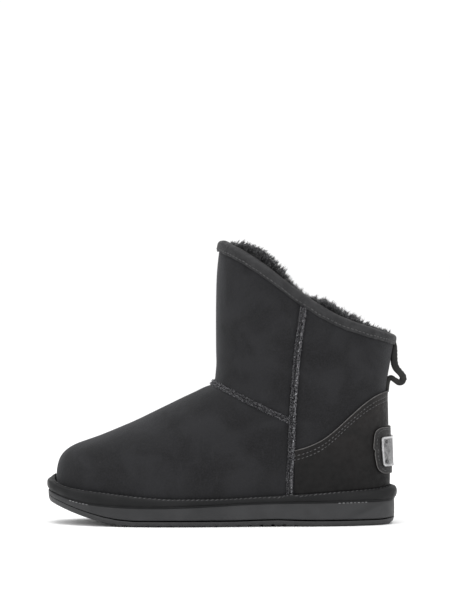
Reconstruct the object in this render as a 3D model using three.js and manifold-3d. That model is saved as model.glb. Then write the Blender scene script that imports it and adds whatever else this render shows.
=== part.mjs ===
// Sheepskin ankle boot for the left foot, in millimetres, +Z up, standing on Z = 0.
// The toe points along -X and the wearer's left (outer) side is -Y.
// Lengths along the boot are first measured from the tip of the sole, x = 0, to its heel, and
// the whole group is then moved so that the origin lies under the middle of its box.
import * as THREE from 'three';
import { mergeVertices } from 'three/addons/utils/BufferGeometryUtils.js';
import Module from 'manifold-3d';

const wasm = await Module();
wasm.setup();

// Driving sizes.
const soleLength = 265.6;
const soleOuterHalf = 50.5;
const soleInnerHalf = 48.5;
const gap = 0.3;
const wall = 7.5;
const collarWall = 5.2;
const outsoleThickness = 4;
const toeSpringHeight = 18;
const toeSpringLength = 65;
const toeSpringPower = 1.6;
const heelSpring = { height: 2.0, length: 16, power: 2 };
const archLift = 0.9;
const archMiddle = 172;
const archHalfLength = 26;
const tipShare = 0.45;
const toeDrift = 7;
const toeDriftLength = 112;
const insoleThickness = 8;
const counterThickness = 1.4;
const patchThickness = 1.3;
const plateThickness = 1.1;
const bindingThickness = 1.2;
const bindingFrontDepth = 9.8;
const bindingBackDepth = 7.6;
const bindingInnerDepth = 6;
const bindingClearance = gap + 0.15;
const crest = { round: 1.6, drop: 0.8, flatten: 0.3 };
const rimClearance = gap + 0.1;
const brow = { reach: 1.8, rise: 0.1 };

// The rim band rises round the tip of the toe, most on the inner side, in levels of the upper.
const toePeak = { outer: 0.15, inner: 1.05, halfWidth: 11, length: 4.5, clearance: 0.2 };
const counterClearance = gap + 0.35;
const thinFrom = 0.86;

// How finely each half loop and the height of the upper are divided.
const noseSteps = 12;
const tailSteps = 16;
const halfSteps = noseSteps + tailSteps;
const columnCount = 2 * halfSteps;
const levelCount = 21;

// Heights along the sole: the groove under the rim band, and the top of the band.
const soleHeights = table(['x', 'groove', 'rimTop'], [
  [0, 25.5, 35.0],
  [15, 20.2, 29.6],
  [31, 16.6, 27.2],
  [54, 14.8, 25.2],
  [85, 14.3, 22.4],
  [110, 15.0, 21.8],
  [140, 16.7, 22.3],
  [175, 17.8, 24.2],
  [220, 18.2, 26.8],
  [250, 18.4, 28.4],
  [265, 18.5, 30.4],
]);

// The upper, a row for each section from the sole to the collar. A section is a loop in a plane
// that slopes from its front point to its back point. outer and inner are its half widths, broad
// is where along it the outer side is widest and twist how much further forward the inner side
// is, nose and tail are the fullness of its two ends (2 is an ellipse), waist is how far the
// sides draw in before the heel, follow is how much it dips with the sole, and wave is how
// much it swells at the front quarter and sags behind the side seam, as the collar does.
const sections = table(
  ['frontX', 'frontZ', 'backX', 'backZ', 'outer', 'inner', 'broad', 'twist', 'nose', 'tail',
    'waist', 'follow', 'wave'],
  [
    [9.2, 25.8, 257.6, 18.8, 44.4, 42.4, 0.35, 0.05, 2.25, 2.55, 0.12, 1.0, 0],
    [7.2, 33.9, 258.4, 30.0, 46.2, 44.2, 0.35, 0.05, 2.20, 2.60, 0.12, 1.0, 0],
    [7.0, 40.3, 258.6, 36.0, 46.8, 44.8, 0.35, 0.05, 2.15, 2.60, 0.11, 0.85, 0],
    [8.4, 47.8, 258.6, 42.0, 46.6, 44.6, 0.35, 0.05, 2.10, 2.58, 0.10, 0.66, 0],
    [12.2, 55.0, 258.4, 47.5, 46.0, 44.0, 0.35, 0.04, 2.05, 2.56, 0.09, 0.50, 0],
    [21.2, 61.7, 258.2, 53.0, 45.0, 43.2, 0.36, 0.04, 2.02, 2.55, 0.08, 0.36, 0],
    [39.4, 67.7, 257.9, 59.5, 44.2, 42.6, 0.38, 0.03, 2.00, 2.52, 0.06, 0.22, 0],
    [61.0, 75.8, 257.6, 66.5, 43.6, 42.2, 0.40, 0.02, 2.00, 2.50, 0.04, 0.10, 0],
    [83.4, 86.2, 257.4, 74.0, 43.2, 42.0, 0.43, 0.01, 2.00, 2.46, 0.02, 0.04, 0],
    [105.4, 96.4, 257.2, 82.0, 43.0, 42.0, 0.46, 0.0, 2.02, 2.42, 0.0, 0.0, 0],
    [121.8, 103.8, 257.0, 90.0, 43.0, 42.2, 0.48, 0.0, 2.06, 2.36, 0.0, 0.0, 0],
    [128.3, 111.5, 256.8, 97.0, 43.3, 42.7, 0.49, 0.0, 2.10, 2.30, 0.0, 0.0, 0.8],
    [128.2, 130.0, 257.1, 105.0, 44.0, 43.6, 0.50, 0.0, 2.12, 2.24, 0.0, 0.0, 3.0],
    [128.3, 156.0, 258.9, 116.0, 45.4, 45.2, 0.50, 0.0, 2.12, 2.20, 0.0, 0.0, 5.5],
    [128.6, 187.0, 261.4, 129.5, 46.8, 46.8, 0.50, 0.0, 2.12, 2.18, 0.0, 0.0, 8.0],
    [131.5, 213.0, 263.6, 141.6, 47.6, 47.6, 0.50, 0.0, 2.12, 2.16, 0.0, 0.0, 10.0],
  ]);

// How the collar's wave is shared between its front quarter and behind the side seam.
const waveShare = { swell: 0.3, sag: 0.7 };

// Where along a loop its waist is, and how far it spreads.
const waistPlace = { middle: 0.63, spread: 0.17 };

// Edges of the sole's layers: how far in from the widest line, at a share of the layer's height.
const rimEdge = table(['inset', 'share'], [
  [2.4, 0],
  [0.8, 0.17],
  [0, 0.46],
  [0.5, 0.72],
  [2.0, 0.92],
]);
const midsoleEdge = table(['inset', 'share'], [
  [2.4, 0],
  [2.2, 0.12],
  [2.1, 0.55],
  [2.2, 0.93],
  [2.5, 1],
]);
const outsoleEdge = table(['inset', 'share'], [
  [4.6, 0],
  [3.0, 0.3],
  [2.3, 0.8],
  [2.3, 1],
]);
const insoleEdge = table(['inset', 'share'], [
  [0.2, 0],
  [0.2, 0.69],
  [3, 1],
]);

// Top edge of the heel counter, seen from the side, from the side seam to the centre back.
const counterEdge = table(['x', 'z'], [
  [186, 56.4],
  [198, 60.2],
  [208, 65.0],
  [218, 72.7],
  [229, 83.0],
  [240, 92.4],
  [250, 98.3],
  [262, 101.8],
]);
const counterFront = { footX: 185.6, topX: 187.6 };

// Patch and plate behind the heel, as half widths and heights seen from behind.
const patchShape = { halfWidth: 25.5, low: 38.8, high: 73.2, corner: 6 };
const plateShape = { halfWidth: 21, low: 44, high: 66, corner: 2 };

// Middle line and thickness of the pull loop, from under the binding down to the fold and back
// to the heel. It is doubled leather, thinned at both ends.
const loopRoute = table(['x', 'z', 'thickness'], [
  [264.0, 133.6, 2.4],
  [263.6, 129.6, 3.2],
  [263.2, 125.4, 3.8],
  [263.4, 121.2, 4.2],
  [264.4, 117.4, 4.2],
  [266.9, 114.2, 4.1],
  [269.4, 111.7, 4.0],
  [270.2, 109.2, 3.9],
  [269.1, 106.9, 3.8],
  [266.8, 106.3, 3.8],
  [264.6, 107.6, 3.7],
  [262.6, 109.1, 3.4],
  [260.5, 109.0, 3.0],
  [259.4, 107.0, 2.7],
  [259.1, 104.8, 2.5],
  [259.0, 102.9, 2.4],
]);
const loopWidth = 12;
const loopSteps = 40;

// Cross grooves of the tread.
const tread = { first: 52, last: 188, pitch: 8.5, width: 1.9, depth: 1.1 };

function table(names, rows) {
  return rows.map((row) => Object.fromEntries(names.map((name, i) => [name, row[i]])));
}

// Smooth value of a column between rows, by a cubic through its neighbours.
function smoothColumn(rows, name, position) {
  const last = rows.length - 1;
  const i = Math.min(Math.max(Math.floor(position), 0), last - 1);
  const t = position - i;
  const before = rows[Math.max(i - 1, 0)][name];
  const here = rows[i][name];
  const next = rows[i + 1][name];
  const after = rows[Math.min(i + 2, last)][name];
  const slopeHere = (next - before) / 2;
  const slopeNext = (after - here) / 2;
  const t2 = t * t;
  const t3 = t2 * t;
  return here * (2 * t3 - 3 * t2 + 1) + slopeHere * (t3 - 2 * t2 + t)
    + next * (3 * t2 - 2 * t3) + slopeNext * (t3 - t2);
}

// Smooth value of a column at a length x along the boot, in a table whose x rises.
function along(rows, name, x) {
  const last = rows.length - 1;
  const clamped = Math.min(Math.max(x, rows[0].x), rows[last].x);
  let i = 0;
  while (i < last - 1 && clamped > rows[i + 1].x) i += 1;
  const slope = (a, b) => (rows[b][name] - rows[a][name]) / (rows[b].x - rows[a].x);
  const span = rows[i + 1].x - rows[i].x;
  const t = (clamped - rows[i].x) / span;
  const slopeHere = slope(Math.max(i - 1, 0), i + 1) * span;
  const slopeNext = slope(i, Math.min(i + 2, last)) * span;
  const t2 = t * t;
  const t3 = t2 * t;
  return rows[i][name] * (2 * t3 - 3 * t2 + 1) + slopeHere * (t3 - 2 * t2 + t)
    + rows[i + 1][name] * (3 * t2 - 2 * t3) + slopeNext * (t3 - t2);
}

const grooveHeight = (x) => along(soleHeights, 'groove', x);
const rimHeight = (x) => along(soleHeights, 'rimTop', x);

function rimDip(x) {
  const low = soleHeights[0];
  const high = soleHeights[soleHeights.length - 1];
  const straight = low.rimTop + (high.rimTop - low.rimTop) * (x - low.x) / (high.x - low.x);
  return rimHeight(x) - straight;
}

// Underside of the sole: toe spring, flat tread, a slight lift under the arch and one at the
// back of the heel.
function groundHeight(x) {
  const toe = Math.max(0, (toeSpringLength - x) / toeSpringLength);
  const arch = Math.min(1, Math.abs(x - archMiddle) / archHalfLength);
  const heel = Math.max(0, (x - soleLength) / heelSpring.length + 1);
  return toeSpringHeight * toe ** toeSpringPower + archLift * (1 + Math.cos(Math.PI * arch)) / 2
    + heelSpring.height * heel ** heelSpring.power;
}

// The toe drifts towards the big toe, on the inner side.
const middleLine = (x) => toeDrift * Math.max(0, 1 - x / toeDriftLength) ** 2;

// A loop runs from the nose along the outer side to the tail and back along the inner side.
function loopPlace(column, loop) {
  const outerSide = column <= halfSteps;
  const step = outerSide ? column : columnCount - column;
  const broad = outerSide ? loop.broad : loop.broad - loop.twist;
  const half = outerSide ? -loop.outer : loop.inner;
  let portion;
  let fullness;
  if (step <= noseSteps) {
    const angle = Math.PI / 2 * step / noseSteps;
    portion = broad * (1 - Math.cos(angle) ** (2 / loop.nose));
    fullness = Math.sin(angle) ** (2 / loop.nose);
  } else {
    const angle = Math.PI / 2 * (step - noseSteps) / tailSteps;
    portion = broad + (1 - broad) * Math.sin(angle) ** (2 / loop.tail);
    fullness = step === halfSteps ? 0 : Math.cos(angle) ** (2 / loop.tail);
  }
  const drawIn = loop.waist * Math.exp(-(((portion - waistPlace.middle) / waistPlace.spread) ** 2));
  const x = loop.frontX + (loop.backX - loop.frontX) * portion;
  return { x, y: half * fullness * (1 - drawIn) + middleLine(x), portion };
}

const sectionNames = Object.keys(sections[0]);

// A point of the upper's outer face; level runs from 0 at the sole to 1 at the collar.
function upperPoint(column, level) {
  const position = level * (sections.length - 1);
  const loop = {};
  for (const name of sectionNames) loop[name] = smoothColumn(sections, name, position);
  const { x, y, portion } = loopPlace(column, loop);
  const line = loop.frontZ + (loop.backZ - loop.frontZ) * portion;
  const swell = waveShare.swell * Math.sin(2 * Math.PI * portion);
  const sag = waveShare.sag * Math.sin(Math.PI * portion) ** 2;
  let z = line + loop.follow * rimDip(x) + loop.wave * (swell - sag);
  if (position < 1) {
    const seat = grooveHeight(x) + gap;
    z = seat + (rimHeight(x) - seat) * position;
  }
  return new THREE.Vector3(x, y, z);
}

// Direction out of the upper's outer face.
function upperNormal(column, level) {
  const step = 0.01;
  const lower = upperPoint(column, Math.max(level - step, 0));
  const higher = upperPoint(column, Math.min(level + step, 1));
  const behind = upperPoint((column + 1) % columnCount, level);
  const ahead = upperPoint((column + columnCount - 1) % columnCount, level);
  const up = higher.sub(lower);
  const round = behind.sub(ahead);
  return new THREE.Vector3().crossVectors(round, up).normalize();
}

// The upper's outer face moved out by a distance, or in by a negative one.
function upperOffset(column, level, distance) {
  return upperPoint(column, level).addScaledVector(upperNormal(column, level), distance);
}

// Edge of the sole, drawn in by an inset, at a height. The tip of the toe is drawn in less.
const soleLoop = {
  frontX: 0, backX: soleLength, outer: soleOuterHalf, inner: soleInnerHalf,
  broad: 0.355, twist: 0.05, nose: 2.25, tail: 2.6, waist: 0.115,
};

function soleEdge(column, inset, heightAt) {
  const loop = {
    ...soleLoop,
    frontX: soleLoop.frontX + inset * tipShare,
    backX: soleLoop.backX - inset,
    outer: soleLoop.outer - inset,
    inner: soleLoop.inner - inset,
  };
  const { x, y } = loopPlace(column, loop);
  return new THREE.Vector3(x, y, heightAt(x));
}

// Triangles to a closed geometry, turned so that its faces point outwards.
function closedGeometry(points, triangles) {
  let volume = 0;
  for (const [a, b, c] of triangles) {
    volume += points[a].dot(new THREE.Vector3().crossVectors(points[b], points[c]));
  }
  const index = triangles.flatMap(([a, b, c]) => (volume > 0 ? [a, b, c] : [a, c, b]));
  const geometry = new THREE.BufferGeometry();
  const flat = points.flatMap((point) => [point.x, point.y, point.z]);
  geometry.setAttribute('position', new THREE.Float32BufferAttribute(flat, 3));
  geometry.setIndex(index);
  geometry.computeVertexNormals();
  return geometry;
}

// A ring whose cross-section, a closed row of points, is given for each column.
function ringGeometry(sectionAt) {
  const rings = Array.from({ length: columnCount }, (_, column) => sectionAt(column));
  const count = rings[0].length;
  const triangles = [];
  for (let column = 0; column < columnCount; column += 1) {
    const here = column * count;
    const next = ((column + 1) % columnCount) * count;
    for (let i = 0; i < count; i += 1) {
      const j = (i + 1) % count;
      triangles.push([here + i, next + i, next + j], [here + i, next + j, here + j]);
    }
  }
  return closedGeometry(rings.flat(), triangles);
}

// A solid of loops stacked from low to high, closed by rungs across its first and last loop.
function stackGeometry(loops) {
  const triangles = [];
  for (let level = 0; level < loops.length - 1; level += 1) {
    const low = level * columnCount;
    const high = low + columnCount;
    for (let column = 0; column < columnCount; column += 1) {
      const next = (column + 1) % columnCount;
      triangles.push([low + column, low + next, high + next], [low + column, high + next, high + column]);
    }
  }
  const top = (loops.length - 1) * columnCount;
  for (let step = 0; step < halfSteps; step += 1) {
    const outer = [step, step + 1];
    const inner = [(columnCount - step) % columnCount, columnCount - step - 1];
    const corners = [outer[0], outer[1], inner[1], inner[0]];
    const cap = corners[0] === corners[3] ? [[0, 1, 2]] : [[0, 1, 2], [0, 2, 3]];
    for (const [a, b, c] of corners[1] === corners[2] ? [[0, 1, 3]] : cap) {
      triangles.push([corners[a], corners[c], corners[b]]);
      triangles.push([top + corners[a], top + corners[b], top + corners[c]]);
    }
  }
  return closedGeometry(loops.flat(), triangles);
}

const everyColumn = (make) => Array.from({ length: columnCount }, (_, column) => make(column));

// Solids for cutting.
function solidOf(geometry) {
  const plain = geometry.clone();
  plain.deleteAttribute('normal');
  plain.deleteAttribute('uv');
  const merged = mergeVertices(plain, 1e-4);
  return new wasm.Manifold(new wasm.Mesh({
    numProp: 3,
    vertProperties: Float32Array.from(merged.attributes.position.array),
    triVerts: Uint32Array.from(merged.index.array),
  }));
}

function geometryOf(solid) {
  const mesh = solid.getMesh();
  const geometry = new THREE.BufferGeometry();
  geometry.setAttribute('position', new THREE.Float32BufferAttribute(mesh.vertProperties, 3));
  geometry.setIndex(Array.from(mesh.triVerts));
  geometry.computeVertexNormals();
  return geometry;
}

// The wall is pressed thinner under the binding.
function wallAt(level) {
  return THREE.MathUtils.lerp(wall, collarWall, THREE.MathUtils.smoothstep(level, thinFrom, 1));
}

function makeUpper() {
  return ringGeometry((column) => {
    const outer = [];
    const inner = [];
    for (let i = 0; i <= levelCount; i += 1) {
      const level = i / levelCount;
      const inside = upperOffset(column, level, -wallAt(level));
      if (i === 0) inside.z = grooveHeight(inside.x) + gap;
      outer.push(upperPoint(column, level));
      inner.unshift(inside);
    }
    return [...outer, ...inner];
  });
}

function makeInsole() {
  return stackGeometry(insoleEdge.map(({ inset, share }) => everyColumn((column) => {
    const point = upperOffset(column, 0, -wall - gap - inset);
    point.z = grooveHeight(point.x) + gap + insoleThickness * share;
    return point;
  })));
}

function makeRimBand() {
  const rimLevel = 1 / (sections.length - 1);
  return ringGeometry((column) => {
    const bead = ({ inset, share }) => soleEdge(column, inset, (x) => {
      const low = grooveHeight(x) + gap;
      return low + (rimHeight(x) - low) * share;
    });
    const foot = upperOffset(column, 0, rimClearance);
    foot.z = grooveHeight(foot.x) + gap;
    const seam = upperPoint(column, rimLevel);
    const inward = THREE.MathUtils.smoothstep(seam.y - toeDrift, -toePeak.halfWidth, toePeak.halfWidth);
    const peak = THREE.MathUtils.lerp(toePeak.outer, toePeak.inner, inward);
    const nearTip = Math.exp(-(((seam.x - sections[1].frontX) / toePeak.length) ** 2));
    const level = rimLevel * (1 + peak * nearTip);
    const shelf = upperOffset(column, level, brow.reach);
    shelf.z += brow.rise;
    const clearance = rimClearance + toePeak.clearance * nearTip;
    const lip = upperOffset(column, level, clearance);
    const seat = upperOffset(column, level / 2, clearance);
    return [foot, ...rimEdge.map(bead), shelf, lip, seat];
  });
}

function makeMidsole() {
  const low = (x) => groundHeight(x) + outsoleThickness + gap;
  const between = (share) => (x) => low(x) + (grooveHeight(x) - low(x)) * share;
  return stackGeometry(midsoleEdge.map(({ inset, share }) => (
    everyColumn((column) => soleEdge(column, inset, between(share)))
  )));
}

function makeOutsole() {
  const lift = (share) => (x) => groundHeight(x) + outsoleThickness * share;
  let cut = solidOf(stackGeometry(outsoleEdge.map(({ inset, share }) => (
    everyColumn((column) => soleEdge(column, inset, lift(share)))
  ))));
  for (let x = tread.first; x <= tread.last; x += tread.pitch) {
    const bar = new THREE.BoxGeometry(tread.width, 2 * soleLength, 2 * tread.depth);
    bar.translate(x, 0, groundHeight(x));
    cut = cut.subtract(solidOf(bar));
  }
  return geometryOf(cut);
}

// The space of the upper and everything inside it, grown by a distance.
function grownForm(distance) {
  const loops = [];
  for (let i = 0; i <= levelCount; i += 1) {
    loops.push(everyColumn((column) => upperOffset(column, i / levelCount, distance)));
  }
  return solidOf(stackGeometry(loops));
}

function shellBetween(inside, outside, cutter) {
  const shell = grownForm(outside).subtract(grownForm(inside));
  return geometryOf(shell.intersect(solidOf(cutter)));
}

const acrossReach = 80;
const behindHeel = 275;
const footStep = 12;

// A prism across the boot from an outline of [x, z] points.
function sidePrism(outline) {
  const shape = new THREE.Shape(outline.map(([x, z]) => new THREE.Vector2(x, z)));
  const geometry = new THREE.ExtrudeGeometry(shape, { depth: 2 * acrossReach, bevelEnabled: false });
  geometry.rotateX(Math.PI / 2);
  geometry.translate(0, acrossReach, 0);
  return geometry;
}

function makeCounter() {
  const edge = counterEdge.map((row) => [row.x, row.z]);
  const footPoint = (x) => [x, rimHeight(x) + counterClearance];
  const foot = [];
  for (let x = behindHeel; x > counterFront.footX; x -= footStep) foot.push(footPoint(x));
  foot.push(footPoint(counterFront.footX));
  const top = [[counterFront.topX, edge[0][1]], ...edge.slice(1), [behindHeel, edge.at(-1)[1]]];
  return shellBetween(gap, gap + counterThickness, sidePrism([...top, ...foot]));
}

const backFrom = 222;
const backReach = 60;

// A rounded plate outline, seen from behind, run forward from behind the heel.
function backPrism({ halfWidth, low, high, corner }) {
  const shape = new THREE.Shape();
  shape.moveTo(-halfWidth + corner, low);
  shape.lineTo(halfWidth - corner, low);
  shape.absarc(halfWidth - corner, low + corner, corner, -Math.PI / 2, 0);
  shape.absarc(halfWidth - corner, high - corner, corner, 0, Math.PI / 2);
  shape.absarc(-halfWidth + corner, high - corner, corner, Math.PI / 2, Math.PI);
  shape.absarc(-halfWidth + corner, low + corner, corner, Math.PI, 3 * Math.PI / 2);
  const run = { depth: backReach, bevelEnabled: false, curveSegments: 3 };
  const geometry = new THREE.ExtrudeGeometry(shape, run);
  geometry.rotateX(Math.PI / 2);
  geometry.rotateZ(Math.PI / 2);
  geometry.translate(backFrom, 0, 0);
  return geometry;
}

const patchInside = 2 * gap + counterThickness;
const plateInside = patchInside + patchThickness + gap;

// Level of the upper at a depth below the collar, measured down its outer face.
function levelBelowCollar(column, depth) {
  const reach = 0.06;
  const perLevel = upperPoint(column, 1).distanceTo(upperPoint(column, 1 - reach)) / reach;
  return 1 - depth / perLevel;
}

function makeBinding() {
  return ringGeometry((column) => {
    const outwards = upperNormal(column, 1);
    const rim = upperPoint(column, 1);
    const up = rim.clone().sub(upperPoint(column, 0.98)).normalize();
    const outerFace = (distance, depth) => upperOffset(column, levelBelowCollar(column, depth), distance);
    const innerFace = (distance, depth) => {
      const level = levelBelowCollar(column, depth);
      return upperOffset(column, level, -wallAt(level) - distance);
    };
    const top = (distance, rise) => rim.clone()
      .addScaledVector(outwards, distance).addScaledVector(up, rise);
    const share = THREE.MathUtils.smoothstep(rim.x, 0.6 * soleLength, soleLength);
    const depth = THREE.MathUtils.lerp(bindingFrontDepth, bindingBackDepth, share);
    const face = bindingClearance;
    const thick = face + bindingThickness;
    return [
      outerFace(face, depth),
      outerFace(thick, depth),
      outerFace(thick, depth / 2),
      top(thick, -crest.drop),
      top(thick - crest.round, thick - crest.flatten),
      top(crest.round - thick - collarWall, thick - crest.flatten),
      top(-thick - collarWall, -crest.drop),
      innerFace(thick, bindingInnerDepth),
      innerFace(face, bindingInnerDepth),
      top(-face - collarWall, face),
      top(face, face),
      outerFace(face, depth / 2),
    ];
  });
}

function makePullLoop() {
  const curve = new THREE.CatmullRomCurve3(loopRoute.map(({ x, z }) => new THREE.Vector3(x, 0, z)));
  const corners = [[-1, -1], [-1, 1], [1, 1], [1, -1]];
  const points = [];
  for (let i = 0; i <= loopSteps; i += 1) {
    const centre = curve.getPointAt(i / loopSteps);
    const tangent = curve.getTangentAt(i / loopSteps);
    const across = new THREE.Vector3(tangent.z, 0, -tangent.x);
    const position = curve.getUtoTmapping(i / loopSteps) * (loopRoute.length - 1);
    const thickness = smoothColumn(loopRoute, 'thickness', position);
    for (const [side, face] of corners) {
      const point = centre.clone().addScaledVector(across, face * thickness / 2);
      point.y = side * loopWidth / 2;
      points.push(point);
    }
  }
  const triangles = [[0, 1, 2], [0, 2, 3]];
  for (let i = 0; i < loopSteps; i += 1) {
    for (let corner = 0; corner < 4; corner += 1) {
      const a = 4 * i + corner;
      const b = 4 * i + (corner + 1) % 4;
      triangles.push([a, a + 4, b + 4], [a, b + 4, b]);
    }
  }
  const end = 4 * loopSteps;
  triangles.push([end, end + 2, end + 1], [end, end + 3, end + 2]);
  return closedGeometry(points, triangles);
}

const suede = { color: 0x2b2b2d, roughness: 0.95, metalness: 0 };
const smoothLeather = { color: 0x262322, roughness: 0.7, metalness: 0 };
const rubber = { color: 0x303234, roughness: 0.75, metalness: 0 };
const fleece = { color: 0x1c1c1e, roughness: 1, metalness: 0 };
const pewter = { color: 0x8b8b8b, roughness: 0.4, metalness: 0.9 };

const boot = new THREE.Group();
const placed = new THREE.Group();
boot.add(placed);

function addPiece(name, geometry, finish) {
  const mesh = new THREE.Mesh(geometry, new THREE.MeshStandardMaterial(finish));
  mesh.name = name;
  placed.add(mesh);
}

addPiece('outsole', makeOutsole(), rubber);
addPiece('midsole', makeMidsole(), rubber);
addPiece('rim_band', makeRimBand(), rubber);
addPiece('insole', makeInsole(), fleece);
addPiece('upper', makeUpper(), suede);
addPiece('heel_counter', makeCounter(), smoothLeather);
addPiece('collar_binding', makeBinding(), smoothLeather);
addPiece('pull_loop', makePullLoop(), smoothLeather);
addPiece('heel_patch', shellBetween(patchInside, patchInside + patchThickness, backPrism(patchShape)),
  smoothLeather);
addPiece('heel_plate', shellBetween(plateInside, plateInside + plateThickness, backPrism(plateShape)),
  pewter);

const middle = new THREE.Box3().setFromObject(placed).getCenter(new THREE.Vector3());
placed.position.set(-middle.x, -middle.y, 0);

export default boot;
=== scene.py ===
# Sheepskin ankle boot for the left foot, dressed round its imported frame. Lengths are in metres
# and the tables are in millimetres, measured along the boot from the tip of the sole's toe and
# up from the floor. The toe points along -X, the wearer's left (outer) side is -Y, up is +Z.
import math

import bmesh
import bpy
import numpy as np
from mathutils import Matrix, Vector, noise
from mathutils.bvhtree import BVHTree
from mathutils.kdtree import KDTree


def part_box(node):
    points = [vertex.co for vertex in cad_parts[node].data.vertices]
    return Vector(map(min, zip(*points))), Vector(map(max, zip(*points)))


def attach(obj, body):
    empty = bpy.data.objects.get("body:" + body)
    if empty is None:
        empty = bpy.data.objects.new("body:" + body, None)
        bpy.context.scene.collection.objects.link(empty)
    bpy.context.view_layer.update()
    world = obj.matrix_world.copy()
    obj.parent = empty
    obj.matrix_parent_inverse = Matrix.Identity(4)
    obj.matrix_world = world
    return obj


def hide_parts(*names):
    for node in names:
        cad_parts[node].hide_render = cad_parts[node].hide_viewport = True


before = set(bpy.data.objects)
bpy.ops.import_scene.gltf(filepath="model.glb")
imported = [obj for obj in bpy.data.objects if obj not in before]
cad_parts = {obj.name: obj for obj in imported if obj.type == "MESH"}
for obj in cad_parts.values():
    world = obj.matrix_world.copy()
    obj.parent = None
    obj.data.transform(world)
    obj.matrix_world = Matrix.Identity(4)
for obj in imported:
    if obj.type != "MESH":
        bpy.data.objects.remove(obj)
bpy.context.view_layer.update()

MM = 0.001
TOE_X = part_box("rim_band")[0].x
MIDDLE_Y = (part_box("pull_loop")[0].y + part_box("pull_loop")[1].y) / 2
OUTER = -1
INNER = 1
REACH = 0.3
MERGE = 2e-6
# Without a seed of its own the noise starts from the clock, and each run would differ.
noise.seed_set(7)

# Side seams, from the sole to the binding, as height and length along the boot.
SIDE_SEAM = [(20, 183.0), (57.9, 184.7), (84, 185.5), (110.9, 187.7), (137, 190.0), (170, 194.4)]
# Seam over the instep, from its front to the side seams, as length and height.
VAMP_SEAM = [(122, 108.0), (139.3, 100.2), (153.7, 93.2), (168, 86.8), (186, 78.4)]
# Top edge of the heel counter, from the side seam to the centre back, as length and height.
COUNTER_TOP = [(186, 56.4), (198, 60.2), (208, 65.0), (218, 72.7), (229, 83.0), (240, 92.4),
               (250, 98.3), (264, 102.0)]
# The collar slopes from front to back and swells and sags by its wave.
COLLAR_FRONT = (131.5, 213.0)
COLLAR_BACK = (263.6, 141.6)
COLLAR_WAVE = 10.0
# How far the fleece stands above the collar along the boot, as length and height.
FLEECE_RISE = [(131, 0.8), (138, 3.0), (144, 7.0), (152, 9.6), (162, 9.8), (172, 8.2), (179, 4.2),
               (185, 1.4), (196, 1.4), (202, 4.6), (210, 7.0), (220, 6.8), (230, 5.0), (240, 2.6),
               (250, 1.4), (264, 1.0)]

SEAM_AXIS = Vector((TOE_X + 186.0 * MM, MIDDLE_Y, 0))
COUNTER_AXIS = Vector((TOE_X + 187.6 * MM, MIDDLE_Y, 0))
SHAFT_AXIS = Vector((TOE_X + 197.0 * MM, MIDDLE_Y, 0))
SOLE_AXIS = Vector((TOE_X + 150.0 * MM, MIDDLE_Y, 0))

# Soft folds of the upper: side, start and end as length and height, half width and depth.
SOFT_FOLDS = [
    {"side": OUTER, "start": (120, 118), "end": (176, 104), "width": 7.0, "depth": 1.0},
    {"side": INNER, "start": (120, 119), "end": (170, 108), "width": 8.0, "depth": 1.1},
    {"side": OUTER, "start": (128, 150), "end": (160, 132), "width": 12.0, "depth": 0.7},
    {"side": INNER, "start": (128, 160), "end": (172, 136), "width": 13.0, "depth": 0.9},
    {"side": OUTER, "start": (86, 74), "end": (122, 52), "width": 9.0, "depth": 0.6},
    {"side": INNER, "start": (80, 70), "end": (120, 50), "width": 9.0, "depth": 0.8},
    {"side": OUTER, "start": (198, 122), "end": (238, 108), "width": 9.0, "depth": 0.8},
    {"side": INNER, "start": (200, 126), "end": (244, 112), "width": 9.0, "depth": 0.9},
    {"side": OUTER, "start": (148, 60), "end": (172, 36), "width": 10.0, "depth": 0.5},
    {"side": INNER, "start": (150, 66), "end": (176, 40), "width": 10.0, "depth": 0.7},
]


# ---- Measuring -----------------------------------------------------------------------------

def curve_value(rows, at):
    """Smooth value of a two-column table whose first column rises."""
    last = len(rows) - 1
    at = min(max(at, rows[0][0]), rows[last][0])
    i = 0
    while i < last - 1 and at > rows[i + 1][0]:
        i += 1

    def slope(a, b):
        return (rows[b][1] - rows[a][1]) / (rows[b][0] - rows[a][0])

    span = rows[i + 1][0] - rows[i][0]
    t = (at - rows[i][0]) / span
    here = slope(max(i - 1, 0), i + 1) * span
    following = slope(i, min(i + 2, last)) * span
    return (rows[i][1] * (2 * t**3 - 3 * t**2 + 1) + here * (t**3 - 2 * t**2 + t)
            + rows[i + 1][1] * (3 * t**2 - 2 * t**3) + following * (t**3 - t**2))


def table_height(rows):
    """A function from a place's X to the height that a table of millimetres gives there."""
    return lambda x: curve_value(rows, (x - TOE_X) / MM) * MM


def collar_height(x):
    """Height of the collar at a place's X."""
    share = ((x - TOE_X) / MM - COLLAR_FRONT[0]) / (COLLAR_BACK[0] - COLLAR_FRONT[0])
    share = min(max(share, 0.0), 1.0)
    swell = 0.3 * math.sin(2 * math.pi * share) - 0.7 * math.sin(math.pi * share) ** 2
    line = COLLAR_FRONT[1] + (COLLAR_BACK[1] - COLLAR_FRONT[1]) * share
    return (line + COLLAR_WAVE * swell) * MM


def tree_of(piece):
    mesh = bmesh.new()
    mesh.from_mesh(piece.data)
    tree = BVHTree.FromBMesh(mesh)
    mesh.free()
    return tree


def cast(tree, start, direction, reach=2 * REACH):
    """First place and outward normal that a straight line meets."""
    place, normal, _, _ = tree.ray_cast(start, Vector(direction).normalized(), reach)
    return place, normal


def ring_point(tree, axis, angle, height):
    """Place on a form at an angle round an upright axis; 0 is the heel, -90 degrees the outer side."""
    outwards = Vector((math.cos(angle), math.sin(angle), 0))
    return cast(tree, axis + outwards * REACH + Vector((0, 0, height)), -outwards, REACH)


def trace(tree, axis, angles, height_at, lift=0.0):
    """Route round an axis whose height depends on how far along the boot it is."""
    route = []
    guess = height_at(axis.x)
    for angle in angles:
        for _ in range(6):
            place, normal = ring_point(tree, axis, angle, guess)
            if place is None:
                break
            guess = height_at(place.x)
        if place is not None:
            route.append((place + normal * lift, normal))
    return route


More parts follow.
